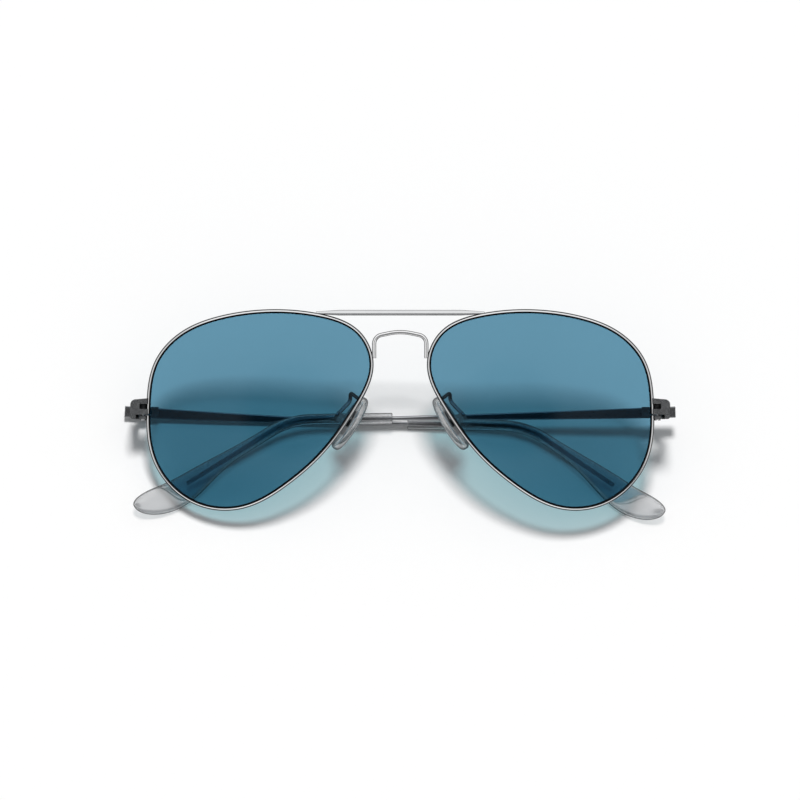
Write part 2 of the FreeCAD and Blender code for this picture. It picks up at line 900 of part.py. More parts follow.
def moved_to_row(pieces):
    """All pieces as they lie, and the placement that took them there."""
    placement = lying_placement()
    bounds = FreeCAD.BoundBox()
    turned = {}
    for name, shape in pieces.items():
        copy = shape.copy()
        copy.Placement = placement.multiply(copy.Placement)
        turned[name] = copy
        bounds.add(copy.optimalBoundingBox(False, False))
    shift = Vector(-bounds.Center.x, -bounds.Center.y, -bounds.ZMin)
    for shape in turned.values():
        shape.translate(shift)
    placement.Base = shift
    return turned, placement


os.makedirs("parts", exist_ok=True)
worn_pieces = build_front()
worn_pieces.update(build_temples())
row_pieces, row_placement = moved_to_row(worn_pieces)
for node, solid in row_pieces.items():
    solid.exportStep("parts/" + node + ".step")
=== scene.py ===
import json

import bpy
import numpy as np
from mathutils import Matrix

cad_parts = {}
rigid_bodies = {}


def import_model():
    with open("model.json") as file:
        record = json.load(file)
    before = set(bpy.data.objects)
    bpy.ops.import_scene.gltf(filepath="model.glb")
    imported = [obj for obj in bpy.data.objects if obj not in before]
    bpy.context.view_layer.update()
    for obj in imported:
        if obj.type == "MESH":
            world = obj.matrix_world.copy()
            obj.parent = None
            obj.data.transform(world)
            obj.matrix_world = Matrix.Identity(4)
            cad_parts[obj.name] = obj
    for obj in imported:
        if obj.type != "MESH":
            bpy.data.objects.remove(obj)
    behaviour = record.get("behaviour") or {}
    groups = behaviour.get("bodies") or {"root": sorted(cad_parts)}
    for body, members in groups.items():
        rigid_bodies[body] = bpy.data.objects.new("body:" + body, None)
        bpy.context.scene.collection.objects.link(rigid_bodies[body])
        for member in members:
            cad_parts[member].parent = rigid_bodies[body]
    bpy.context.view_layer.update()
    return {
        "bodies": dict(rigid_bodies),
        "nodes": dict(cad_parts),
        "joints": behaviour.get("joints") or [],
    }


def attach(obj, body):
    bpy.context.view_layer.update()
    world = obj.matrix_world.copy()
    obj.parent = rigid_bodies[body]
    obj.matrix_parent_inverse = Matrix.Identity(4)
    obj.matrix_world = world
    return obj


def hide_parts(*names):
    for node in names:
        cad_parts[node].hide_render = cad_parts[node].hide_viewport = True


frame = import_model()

# How the folded glasses lie: they are drawn as worn, in millimetres, with X to the
# right of someone who faces the lenses, Y towards the ears and Z up. They lie on the
# table on their temple tips, so the whole is rolled a little and tilted back.
lie_tilt = np.radians(25.65)
lie_roll = np.radians(2.77)
hinge_x = 66.96
hinge_y = 20.004
hinge_z = -0.6


def lying_turn():
    """Turn from worn to lying: minus the roll about Z, then the tilt less 90 degrees about X."""
    roll_cos, roll_sin = np.cos(-lie_roll), np.sin(-lie_roll)
    lean_cos, lean_sin = np.cos(lie_tilt - np.pi / 2), np.sin(lie_tilt - np.pi / 2)
    roll = np.array([[roll_cos, -roll_sin, 0], [roll_sin, roll_cos, 0], [0, 0, 1]])
    lean = np.array([[1, 0, 0], [0, lean_cos, -lean_sin], [0, lean_sin, lean_cos]])
    return lean @ roll


turn = lying_turn()
fold_joint = next(joint for joint in frame["joints"] if joint["name"] == "right_temple_fold")
shift = 1000 * np.array(fold_joint["pos_m"]) - turn @ np.array([hinge_x, hinge_y, hinge_z])


def lying(points):
    """Worn points in millimetres to the row frame in metres: turned, shifted, divided by 1000."""
    return (points @ turn.T + shift) / 1000


# The table: seamless white card under one broad soft lamp. The room is pale, but dark
# round the camera and below it and grey at both sides, which bright metal mirrors.
table_colour = "#FAFAFA"
fibre_colour = "#FBFBFB"
fibre_size = 10 / 9
table_half = 6.0
sun_share = 0.68
sun_width = 14.0
sun_lean = 14.0
dark_card = 0.1
card_angles = (20.0, 12.0)
low_dark = 0.12
low_cosines = (0.25, 0.5)
flank_grey = 0.7
flank_cosines = (0.45, 0.75)
photo_width = 0.2059
camera_distance = 2.3
camera_aim = (-0.064, 5.0, 2.651)
sensor_width = 36


def linear(code):
    """Linear RGB of an sRGB hex code: a share c up to 0.04045 becomes c / 12.92, and a
    greater one ((c + 0.055) / 1.055) to the power 2.4."""
    shares = np.array([int(code[place : place + 2], 16) / 255 for place in (1, 3, 5)])
    return np.where(shares <= 0.04045, shares / 12.92, ((shares + 0.055) / 1.055) ** 2.4)


def add_node(tree, kind, settings, inputs):
    """Adds one node. Inputs are values, or sockets of other nodes to link, by name or number."""
    node = tree.nodes.new("ShaderNode" + kind)
    for name, value in settings.items():
        setattr(node, name, value)
    for name, value in inputs.items():
        if isinstance(value, bpy.types.NodeSocket):
            tree.links.new(value, node.inputs[name])
        else:
            node.inputs[name].default_value = value
    return node


def new_material(name):
    """Empty node material and its tree."""
    material = bpy.data.materials.new(name)
    material.use_nodes = True
    material.node_tree.nodes.clear()
    return material, material.node_tree


for leftover in set(bpy.data.objects) - set(frame["nodes"].values()) - set(frame["bodies"].values()):
    bpy.data.objects.remove(leftover)
bpy.context.scene.view_settings.view_transform = "Standard"

card, tree = new_material("white_card")
paper = add_node(tree, "TexCoord", {}, {})
fibre = add_node(tree, "TexNoise", {}, {"Vector": paper.outputs["Object"], "Scale": 1000 / fibre_size})
shade = add_node(
    tree,
    "MixRGB",
    {},
    {0: fibre.outputs[0], 1: (*linear(table_colour), 1), 2: (*linear(fibre_colour), 1)},
)
surface = add_node(tree, "BsdfDiffuse", {}, {"Color": shade.outputs[0]})
add_node(tree, "OutputMaterial", {}, {"Surface": surface.outputs[0]})
table_corners = [
    (-table_half, -table_half, 0),
    (table_half, -table_half, 0),
    (table_half, table_half, 0),
    (-table_half, table_half, 0),
]
table_mesh = bpy.data.meshes.new("table")
table_mesh.from_pydata(table_corners, [], [(0, 1, 2, 3)])
table = bpy.data.objects.new("table", table_mesh)
table_mesh.materials.append(card)
bpy.context.scene.collection.objects.link(table)

table_white = float(linear(table_colour)[0])
lamp_data = bpy.data.lights.new("soft_lamp", "SUN")
lamp_data.angle = np.radians(sun_width)
lamp_data.energy = np.pi * sun_share / (table_white * np.cos(np.radians(sun_lean)))
lamp = bpy.data.objects.new("soft_lamp", lamp_data)
lamp.rotation_euler = (np.radians(-sun_lean), 0, 0)
lamp.visible_glossy = False
lamp.visible_transmission = False
bpy.context.scene.collection.objects.link(lamp)

towards_camera = turn @ np.array([0, -1, 0])
room = bpy.data.worlds.new("pale_room")
bpy.context.scene.world = room
room.use_nodes = True
room.cycles.sampling_method = "NONE"
tree = room.node_tree
tree.nodes.clear()
place = add_node(tree, "TexCoord", {}, {})


def room_part(direction, start, end, level, both_ways=False):
    """Brightness of the room round a direction, or round it and its opposite: 1 where the
    cosine is under start, falling on a smooth step to a level where it is over end."""
    directions = {0: place.outputs["Generated"], 1: tuple(direction)}
    cosine = add_node(tree, "VectorMath", {"operation": "DOT_PRODUCT"}, directions)
    share = cosine.outputs["Value"]
    if both_ways:
        share = add_node(tree, "Math", {"operation": "ABSOLUTE"}, {0: share}).outputs[0]
    limits = {"Value": share, "From Min": start, "From Max": end, "To Min": 1.0, "To Max": level}
    return add_node(tree, "MapRange", {"interpolation_type": "SMOOTHSTEP"}, limits).outputs["Result"]


card_cosines = [float(np.cos(np.radians(angle))) for angle in card_angles]
card_part = room_part(towards_camera, *card_cosines, dark_card)
low_part = room_part(turn @ np.array([0, 0, -1]), *low_cosines, low_dark)
flank_part = room_part(turn @ np.array([1, 0, 0]), *flank_cosines, flank_grey, True)
two_parts = add_node(tree, "Math", {"operation": "MULTIPLY"}, {0: card_part, 1: low_part})
studio = add_node(tree, "Math", {"operation": "MULTIPLY"}, {0: two_parts.outputs[0], 1: flank_part})
rays = add_node(tree, "LightPath", {}, {})
mirrored_ray = add_node(
    tree,
    "Math",
    {"operation": "MAXIMUM"},
    {0: rays.outputs["Is Glossy Ray"], 1: rays.outputs["Is Transmission Ray"]},
)
ambient = (1 - sun_share) / table_white
seen_in_metal = add_node(
    tree,
    "Mix",
    {},
    {"Factor": mirrored_ray.outputs[0], 2: ambient, 3: studio.outputs[0]},
)
seen = add_node(
    tree,
    "Mix",
    {},
    {"Factor": rays.outputs["Is Camera Ray"], 2: seen_in_metal.outputs[0], 3: 1.0},
)
sky = add_node(tree, "Background", {}, {"Color": (1, 1, 1, 1), "Strength": seen.outputs[0]})
add_node(tree, "OutputWorld", {}, {"Surface": sky.outputs[0]})

camera_data = bpy.data.cameras.new("camera")
camera_data.sensor_width = sensor_width
camera_data.lens = sensor_width * camera_distance / photo_width
camera_data.clip_end = 30
camera = bpy.data.objects.new("camera", camera_data)
aim = lying(np.array(camera_aim))
stand = aim + towards_camera * camera_distance
frame_axes = np.eye(4)
frame_axes[:3, 0] = turn[:, 0]
frame_axes[:3, 1] = turn[:, 2]
frame_axes[:3, 2] = towards_camera
frame_axes[:3, 3] = stand
camera.matrix_world = Matrix(frame_axes.tolist())
bpy.context.scene.collection.objects.link(camera)
bpy.context.scene.camera = camera

# Rims: half-round nickel-silver wire, rolled with a groove for the lens, bent to the
# lens outline and slit at the temple side, then plated and polished to a mirror.
lens_x = 36.0
half_clear_width = 28.5
half_clear_height = 25.0
lens_radius = 88.0
lens_wrap = np.radians(5)
outline_shares = np.array(
    [
        (-0.070, 0.997),
        (0.377, 0.926),
        (0.693, 0.777),
        (0.920, 0.495),
        (0.995, 0.045),
        (0.936, -0.514),
        (0.566, -0.938),
        (0.181, -0.975),
        (-0.230, -0.733),
        (-0.495, -0.474),
        (-0.831, 0.031),
        (-0.984, 0.503),
        (-0.879, 0.774),
        (-0.524, 0.956),
    ]
)
rim_width = 1.1
rim_front = -0.25
rim_edge_round = 0.16
groove_front = 0.6
groove_back = 1.6
groove_depth = 0.55
# Width and fade of the painted shade along the rim wire's inner front edge
groove_shade = 0.55
groove_shade_fade = 0.12
slit_height = -1.2
slit_width = 0.2


def smooth_loop(points, samples):
    """Closed curve through points: between two of them a cubic of the chord length, whose
    slopes solve the periodic system that makes the bend the same on both sides."""
    before, after = np.roll(points, 1, axis=0), np.roll(points, -1, axis=0)
    back_chord = np.linalg.norm(points - before, axis=1)[:, None]
    chord = np.linalg.norm(after - points, axis=1)[:, None]
    count = len(points)
    row = np.arange(count)
    system = np.zeros((count, count))
    system[row, row] = 2 * (back_chord + chord)[:, 0]
    system[row, row - 1] = chord[:, 0]
    system[row, (row + 1) % count] = back_chord[:, 0]
    pull = 3 * (chord / back_chord * (points - before) + back_chord / chord * (after - points))
    slope = np.linalg.solve(system, pull)
    starts = np.concatenate([[0], np.cumsum(chord[:, 0])])
    place = np.linspace(0, starts[-1], samples, endpoint=False)
    run = np.searchsorted(starts, place, side="right") - 1
    size = chord[run]
    part = ((place - starts[run]) / size[:, 0])[:, None]
    nearer = (2 * part**3 - 3 * part**2 + 1) * points[run]
    nearer += (part**3 - 2 * part**2 + part) * size * slope[run]
    further = (3 * part**2 - 2 * part**3) * after[run]
    return nearer + further + (part**3 - part**2) * size * slope[(run + 1) % count]


def outward_ways(loop):
    """Unit directions square to a closed flat curve, away from its middle."""
    along = np.roll(loop, -1, axis=0) - np.roll(loop, 1, axis=0)
    across = np.stack([along[:, 1], -along[:, 0]], axis=1)
    across /= np.linalg.norm(across, axis=1)[:, None]
    side = np.sign(np.sum(across * (loop - loop.mean(axis=0)), axis=1).sum())
    return across * side


def lens_depth(x, z, setback=0.0):
    """Depth of a sphere inside the lens front by a setback: the lens radius less the root of
    the smaller radius squared less the squared distance from the sphere's axis."""
    from_axis = x - (lens_x - lens_radius * np.sin(lens_wrap))
    return lens_radius - np.sqrt((lens_radius - setback) ** 2 - from_axis**2 - z**2)


def ring_faces(rings, around):
    """Four-sided faces of a grid of rings, closed around, and one face at each end."""
    ring, step = np.meshgrid(np.arange(rings - 1), np.arange(around), indexing="ij")
    following = (step + 1) % around
    quads = np.stack(
        [
            ring * around + step,
            ring * around + following,
            (ring + 1) * around + following,
            (ring + 1) * around + step,
        ],
        axis=-1,
    ).reshape(-1, 4)
    ends = [tuple(range(around))[::-1], tuple(range((rings - 1) * around, rings * around))]
    return quads, ends


def add_rings(name, rings, material, crease=40, dull_and_painted_shade=None):
    """Closed piece from rings of points, worn millimetres. The six-fold volume, the sum of
    the corners' triple products, tells whether its faces must be turned outwards. The last
    argument gives the points, or each whole ring, a share of dark colour: unpolished metal on
    the temples' core wires, and painted shade along the rims' inner front edge."""
    points = lying(rings.reshape(-1, 3))
    quads, ends = ring_faces(rings.shape[0], rings.shape[1])
    a, b, c, d = (points[quads[:, corner]] - points[0] for corner in range(4))
    volume = np.sum(a * np.cross(b, c)) + np.sum(a * np.cross(c, d))
    faces = quads.tolist() + [list(end) for end in ends]
    if volume < 0:
        faces = [face[::-1] for face in faces]
    mesh = bpy.data.meshes.new(name)
    mesh.from_pydata(points.tolist(), [], faces)
    mesh.shade_smooth()
    mesh.set_sharp_from_angle(angle=np.radians(crease))
    mesh.materials.append(material)
    if dull_and_painted_shade is not None:
        shades = mesh.attributes.new("dull_and_painted_shade", "FLOAT", "POINT")
        shares = np.broadcast_to(dull_and_painted_shade, rings.shape[:2]).ravel()
        shades.data.foreach_set("value", shares.astype(np.float32))
    piece = bpy.data.objects.new(name, mesh)
    bpy.context.scene.collection.objects.link(piece)
    return piece


def mirror_left(rings):
    """The same rings for the left side."""
    return rings * np.array([-1.0, 1.0, 1.0])


drift_grains = 12
# Colour of the painted shade on edges and in recesses, also of dull metal; facing limits of the painted
# edge shade; occlusion limits of the painted recess shade
painted_shade_and_dull_colour = "#101214"
painted_edge_facing = (0.2, 0.42)
recess_shade_start = 0.9
recess_shade_full = 0.45


def polished_metal(name, light, dark, smooth, rough, grain, scratch_depth, shaded_recess_width=0.0):
    """Polished metal: two close tones that drift over a dozen buffing grains, a roughness
    that varies with the grain in mm, and a bump as deep as the finest scratches. Its colour is
    painted dark where it turns away, as painted shade along its outline; it is dark where it
    is dull; and it is painted dark with shade in recesses narrower than a width in mm."""
    material, tree = new_material(name)
    place = add_node(tree, "TexCoord", {}, {})
    spot = place.outputs["Object"]
    drift_scale = 1000 / (grain * drift_grains)
    drift = add_node(tree, "TexNoise", {}, {"Vector": spot, "Scale": drift_scale, "Detail": 3.0})
    buffing = add_node(tree, "TexNoise", {}, {"Vector": spot, "Scale": 1000 / grain, "Detail": 4.0})
    tone = add_node(
        tree,
        "Mix",
        {"data_type": "RGBA"},
        {"Factor": drift.outputs[0], 6: (*linear(dark), 1), 7: (*linear(light), 1)},
    )
    # Painted shade: the colour goes dark where the surface turns away from the view
    graze = add_node(tree, "LayerWeight", {}, {"Blend": 0.5})
    turned = add_node(
        tree,
        "MapRange",
        {"interpolation_type": "SMOOTHSTEP"},
        {
            "Value": graze.outputs["Facing"],
            "From Min": painted_edge_facing[0],
            "From Max": painted_edge_facing[1],
        },
    )
    dull_and_painted_shade = add_node(tree, "Attribute", {"attribute_name": "dull_and_painted_shade"}, {})
    shades = {0: turned.outputs["Result"], 1: dull_and_painted_shade.outputs["Fac"]}
    painted_shade_and_dull_share = add_node(tree, "Math", {"operation": "MAXIMUM"}, shades)
    # Painted shade in recesses, from ambient occlusion
    if shaded_recess_width:
        open_sky = add_node(tree, "AmbientOcclusion", {"samples": 12}, {"Distance": shaded_recess_width / 1000})
        limits = {"Value": open_sky.outputs["AO"], "From Min": recess_shade_start, "From Max": recess_shade_full}
        painted_recess_shade = add_node(tree, "MapRange", {}, limits)
        shades = {0: painted_shade_and_dull_share.outputs[0], 1: painted_recess_shade.outputs["Result"]}
        painted_shade_and_dull_share = add_node(tree, "Math", {"operation": "MAXIMUM"}, shades)
    colour = add_node(
        tree,
        "Mix",
        {"data_type": "RGBA"},
        {"Factor": painted_shade_and_dull_share.outputs[0], 6: tone.outputs["Result"], 7: (*linear(painted_shade_and_dull_colour), 1)},
    )
    finish = add_node(
        tree,
        "MapRange",
        {},
        {"Value": buffing.outputs[0], "From Min": 0.3, "From Max": 0.7, "To Min": smooth, "To Max": rough},
    )
    scratches = add_node(
        tree,
        "Bump",
        {},
        {"Height": buffing.outputs[0], "Strength": 0.25, "Distance": scratch_depth / 1000},
    )
    surface = add_node(
        tree,
        "BsdfPrincipled",
        {},
        {
            "Base Color": colour.outputs["Result"],
            "Metallic": 1.0,
            "Roughness": finish.outputs["Result"],
            "Normal": scratches.outputs[0],
        },
    )
    add_node(tree, "OutputMaterial", {}, {"Surface": surface.outputs[0]})
    return material


# Nickel plate buffed to a mirror: almost white, with black lines of painted shade along its turned edges.
frame_metal = polished_metal("polished_nickel_plate", "#FAFAFB", "#F2F3F4", 0.05, 0.1, 0.35, 0.001)
clear_edge = smooth_loop(outline_shares * [half_clear_width, half_clear_height] + [lens_x, 0], 720)
edge_outward = outward_ways(clear_edge)
rim_middle = rim_front + rim_width
crown_start = np.arcsin(rim_edge_round / rim_width)
crown = np.linspace(crown_start, np.pi - crown_start, 25)
quarter = np.linspace(0, np.pi / 2, 5)[:-1]
corner_out = rim_edge_round * (1 - np.cos(quarter))
front_corner = rim_middle - rim_width * np.cos(crown_start) + rim_edge_round
back_corner = 2 * rim_middle - front_corner
rim_profile = np.concatenate(
    [
        np.stack([corner_out, front_corner - rim_edge_round * np.sin(quarter)], axis=1),
        np.stack([rim_width * np.sin(crown), rim_middle - rim_width * np.cos(crown)], axis=1),
        np.stack([corner_out, back_corner + rim_edge_round * np.sin(quarter)], axis=1)[::-1],
        [(0, groove_back), (groove_depth, groove_back), (groove_depth, groove_front), (0, groove_front)],
    ]
)

# Painted shade: the wire's inner front edge, beside the lens, is coloured dark for the shade of the groove
# there.
painted_groove_shade = np.clip((groove_shade - rim_profile[:, 0]) / groove_shade_fade, 0, 1)
rim_painted_shade = np.where(rim_profile[:, 1] < rim_middle, painted_groove_shade, 0)


def rim_rings():
    """The rim's profile carried round the clear edge, from above the slit round to below it."""
    near_slit = np.abs(clear_edge[:, 1] - slit_height) + 1000 * (clear_edge[:, 0] < lens_x)
    first = int(np.argmin(near_slit))
    loop = np.roll(clear_edge, -first, axis=0)
    outward = np.roll(edge_outward, -first, axis=0)
    keep = (loop[:, 0] < lens_x) | (np.abs(loop[:, 1] - slit_height) > slit_width / 2)
    loop, outward = loop[keep], outward[keep]
    radial, depth = rim_profile[:, 0], rim_profile[:, 1]
    flat = loop[:, None, :] + outward[:, None, :] * radial[None, :, None]
    deep = lens_depth(loop[:, 0], loop[:, 1])[:, None] + depth[None, :]
    return np.stack([flat[..., 0], deep, flat[..., 1]], axis=-1)


for side, rings in (("right", rim_rings()), ("left", mirror_left(rim_rings()))):
    rim = add_rings("rim_wire_" + side, rings, frame_metal, 60, rim_painted_shade)
    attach(rim, "front")
    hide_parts("rim_" + side)

# Lenses: cast acrylic, 2 mm thick, dyed blue right through, cut to the outline with a
# low ridge all round its edge that snaps into the rim's groove. Both faces are glossy.
lens_thickness = 2.0
lens_gap = 0.05
lens_tint = np.array([0.126, 0.304, 0.418])
lens_shadow = np.array([0.225, 0.430, 0.465])
dye_size = 25.0
dye_drift = 0.015
mirrored_head_on = 0.008
mirrored_glancing = 0.9
# Inset and depth of the rings round the lens edge, over its rounded corners and ridge
edge_steps = [
    (0.12, 0.0),
    (0.03, 0.04),
    (0.0, 0.14),
    (0.0, 0.7),
    (-0.5, 0.85),
    (-0.5, 1.05),
    (0.0, 1.2),
    (0.0, 1.86),
    (0.03, 1.96),
    (0.12, 2.0),
]


def lens_rings():
    """Both faces are spheres about one centre. A ring shrinks by a share from the edge to
    the middle, and between the faces the rings step over the ridge."""
    shares = np.sin(np.linspace(0.02, np.pi / 2, 30))[:-1]
    start = clear_edge - edge_outward * (lens_gap + edge_steps[0][0])
    centre = start.mean(axis=0)
    face = centre + (start - centre)[None] * shares[:, None, None]
    rings = [(ring, 0.0) for ring in face]
    rings += [(clear_edge - edge_outward * (lens_gap + inset), setback) for inset, setback in edge_steps]
    rings += [(ring, lens_thickness) for ring in face[::-1]]
    solid = []
    for ring, setback in rings:
        depth = lens_depth(ring[:, 0], ring[:, 1], setback)
        solid.append(np.stack([ring[:, 0], depth, ring[:, 1]], axis=1))
    return np.array(solid)


# Dyed acrylic with an anti-reflection coat: light passes straight through and leaves much
# of its red behind, half of it at each face. Little is mirrored, but more at a glancing
# angle. The lamp's light spreads inside the lens, so the shadow is paler than the lens.
lens_material, tree = new_material("dyed_blue_acrylic")
place = add_node(tree, "TexCoord", {}, {})
spot = place.outputs["Object"]
dye = add_node(tree, "TexNoise", {}, {"Vector": spot, "Scale": 1000 / dye_size, "Detail": 1.0})
once = np.sqrt(lens_tint)
once_in_shadow = np.sqrt(lens_shadow)
tint = add_node(
    tree,
    "Mix",
    {"data_type": "RGBA"},
    {"Factor": dye.outputs[0], 6: (*(once * (1 - dye_drift)), 1), 7: (*(once * (1 + dye_drift)), 1)},
)
rays = add_node(tree, "LightPath", {}, {})
passed = add_node(
    tree,
    "Mix",
    {"data_type": "RGBA"},
    {"Factor": rays.outputs["Is Shadow Ray"], 6: tint.outputs["Result"], 7: (*once_in_shadow, 1)},
)
through = add_node(tree, "BsdfTransparent", {}, {"Color": passed.outputs["Result"]})
gloss = add_node(tree, "BsdfGlossy", {}, {"Color": (1, 1, 1, 1), "Roughness": 0.015})
graze = add_node(tree, "LayerWeight", {}, {"Blend": 0.5})
steep = add_node(tree, "Math", {"operation": "POWER"}, {0: graze.outputs["Facing"], 1: 5.0})
mirrored_shares = {0: steep.outputs[0], 1: mirrored_glancing, 2: mirrored_head_on}
share = add_node(tree, "Math", {"operation": "MULTIPLY_ADD"}, mirrored_shares)
shown = {0: share.outputs[0], 1: through.outputs[0], 2: gloss.outputs[0]}
mixed = add_node(tree, "MixShader", {}, shown)
add_node(tree, "OutputMaterial", {}, {"Surface": mixed.outputs[0]})

for side, rings in (("right", lens_rings()), ("left", mirror_left(lens_rings()))):
    lens = add_rings("tinted_lens_" + side, rings, lens_material, 30)
    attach(lens, "front")
    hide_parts("lens_" + side)

# Bridge and brow bar: a wire arch brazed by its two legs to the rims' nose sides, and
# above it a flat polished bar that tapers to its ends and is brazed on the rims' tops.
bridge_leg = 6.72
bridge_foot = 13.4
bridge_shoulder = 19.0
bridge_crown = 20.4
bridge_y = 4.4
bridge_radius = 0.55
bridge_corner = 2.3
bridge_arch = 14.0
bar_half_length = 21.7
bar_taper = 6.0
bar_z = 25.1
bar_y = 4.097
bar_height = 1.4
bar_depth = 1.0
bar_lean = np.radians(15)
bar_end_share = 0.45
bar_round_share = 0.8
bar_end_round = 0.12


def bent_path(points, radii, step):
    """Straight runs through points, joined by tangent arcs: each arc starts the radius times
    the tangent of half the turn before its corner. Runs and arcs are cut about every step."""
    pieces = []
    last = points[0]
    for corner, before, after, radius in zip(points[1:-1], points, points[2:], radii):
        to_before = (before - corner) / np.linalg.norm(before - corner)
        to_after = (after - corner) / np.linalg.norm(after - corner)
        half_turn = (np.pi - np.arccos(np.clip(to_before @ to_after, -1, 1))) / 2
        start = corner + to_before * radius * np.tan(half_turn)
        inward = (to_before + to_after) / np.linalg.norm(to_before + to_after)
        centre = corner + inward * radius / np.cos(half_turn)
        sideways = (start - centre) / radius
        angles = np.linspace(0, 2 * half_turn, max(int(2 * half_turn * radius / step), 6))[:, None]
        arc = centre + radius * (sideways * np.cos(angles) - to_before * np.sin(angles))
        count = max(int(np.linalg.norm(start - last) / step), 2)
        pieces.append(last + (start - last) * np.linspace(0, 1, count, endpoint=False)[:, None])
        pieces.append(arc[:-1])
        last = arc[-1]
    count = max(int(np.linalg.norm(points[-1] - last) / step), 2)
    pieces.append(last + (points[-1] - last) * np.linspace(0, 1, count)[:, None])
    return np.concatenate(pieces)


def wire_rings(path, radius, side_hint, edge=0.1):
    """Round wire: circles square to a path, turned by a hint direction that is never in line
    with it. The first and last circles are smaller, so that the wire's ends are rounded."""
    along = np.gradient(path, axis=0)
    along /= np.linalg.norm(along, axis=1)[:, None]
    start = [path[:1], path[:1] + along[:1] * edge]
    end = [path[-1:] - along[-1:] * edge, path[-1:]]
    path = np.concatenate([*start, path[1:-1], *end])
    along = np.concatenate([along[:1], along, along[-1:]])
    side = np.cross(along, side_hint)
    side /= np.linalg.norm(side, axis=1)[:, None]
    third = np.cross(along, side)
    sizes = np.full(len(path), radius)
    sizes[[0, -1]] = radius - edge
    angle = np.linspace(0, 2 * np.pi, 20, endpoint=False)[None, :, None]
    around = side[:, None] * np.cos(angle) + third[:, None] * np.sin(angle)
    return path[:, None] + around * sizes[:, None, None]


bridge_points = np.array(
    [
        (-bridge_leg, bridge_y, bridge_foot),
        (-bridge_leg, bridge_y, bridge_shoulder),
        (0, bridge_y, bridge_crown),
        (bridge_leg, bridge_y, bridge_shoulder),
        (bridge_leg, bridge_y, bridge_foot),
    ]
)
bridge_path = bent_path(bridge_points, (bridge_corner, bridge_arch, bridge_corner), 0.4)
bridge = add_rings("bridge_wire", wire_rings(bridge_path, bridge_radius, (0, 1, 0)), frame_metal)
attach(bridge, "front")
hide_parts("bridge")


def rounded_rectangle(half_side, half_up, radius, steps=5):
    """Rounded rectangles, one a row: round each corner's centre a quarter circle of the
    radius. The sizes are arrays, and the last axis is (side, up)."""
    sizes = (half_side, half_up, radius)
    half_side, half_up, radius = (np.atleast_1d(size)[:, None, None] for size in sizes)
    quarter = np.linspace(0, np.pi / 2, steps)[None, None, :]
    corner = np.arange(4)[None, :, None]
    angle = corner * np.pi / 2 + quarter
    side_sign = np.array([1, -1, -1, 1])[None, :, None]
    up_sign = np.array([1, 1, -1, -1])[None, :, None]
    side = side_sign * (half_side - radius) + radius * np.cos(angle)
    height = up_sign * (half_up - radius) + radius * np.sin(angle)
    rows = side.shape[0]
    return np.stack([side.reshape(rows, -1), height.reshape(rows, -1)], axis=-1)


def brow_bar_rings():
    """Rounded rectangles along X, leaning back: full size in the middle and a share of it at
    the ends, with a straight taper between, and two small rings that round each end."""
    tapering = np.linspace(bar_half_length - bar_taper, bar_half_length - bar_end_round, 12)
    x = np.concatenate([tapering, [bar_half_length]])
    share = 1 - (1 - bar_end_share) * (x - bar_half_length + bar_taper) / bar_taper
    inset = np.zeros(len(x))
    inset[-1] = bar_end_round
    x = np.concatenate([-x[::-1], x])
    share = np.concatenate([share[::-1], share])
    inset = np.concatenate([inset[::-1], inset])
    half_up = share * bar_height / 2 - inset
    half_side = share * bar_depth / 2 - inset
    section = rounded_rectangle(half_side, half_up, half_side * bar_round_share)
    across = np.broadcast_to(x[:, None], section.shape[:2])
    depth = section[..., 0] * np.cos(bar_lean) + section[..., 1] * np.sin(bar_lean)
    height = section[..., 1] * np.cos(bar_lean) - section[..., 0] * np.sin(bar_lean)
    return np.stack([across, bar_y + depth, bar_z + height], axis=-1)


# The bar's flat face is brushed along its length, so it is a shade greyer than the wires.
bar_metal = polished_metal("brushed_nickel_plate", "#E4E5E6", "#D8D9DB", 0.08, 0.16, 0.3, 0.001)
brow_bar = add_rings("brow_bar_polished", brow_bar_rings(), bar_metal)
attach(brow_bar, "front")
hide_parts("brow_bar")

# End pieces, rim blocks and hinges: stamped and milled nickel silver, brazed to the
# rims and tumbled, so they are less bright than the rims. Steel screws hold them.
# Tumbled nickel silver: grey and speckled, with painted shade darkening its recesses. Turned steel:
# smoother, with a silky shine.
milled_metal = polished_metal(
    "tumbled_nickel_silver", "#B9BBBD", "#64676A", 0.18, 0.38, 0.08, 0.006, shaded_recess_width=1.2
)
screw_metal = polished_metal("turned_screw_steel", "#BDBEC0", "#A6A8AA", 0.18, 0.3, 0.2, 0.003)


def dress(node, material):
    """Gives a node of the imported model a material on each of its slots."""
    piece = frame["nodes"][node]
    if not piece.material_slots:
        piece.data.materials.append(material)
    for slot in piece.material_slots:
        slot.material = material


for side in ("right", "left"):
    for piece in ("end_piece", "rim_lock", "front_hinge_leaf", "temple_hinge_leaf"):
        dress(piece + "_" + side, milled_metal)
    for piece in ("rim_screw", "hinge_screw", "pad_screw"):
        dress(piece + "_" + side, screw_metal)

# Temples: flat polished blades that taper to a round core wire and bend down behind
# the ear. The right one lies nearer the lenses and the left one over it, a bit open.
temple_butt = 4.4
blade_inner = 1.3
blade_thickness = 1.3
blade_height = 2.9
blade_end = 68.0
core_thickness = 1.0
core_height = 1.1
core_end = 126.6
blade_corner = 0.2
core_corner = 0.45
temple_end_round = 0.12
core_shade = 0.9
core_shade_start = 70.0
core_shade_run = 10.0
lift_length = 80.0
bend_length = 12.0
tail_straight = 24.0
tail_lift = 20.0
temple_length = 141.2
bow_start = 60.0
bow_radius = 248.0
rear_slant = np.radians(2.4)
front_set = (1.7, 1.0, 89.5, 31.3)
rear_set = (3.5, 2.5, 93.5, 33.5)


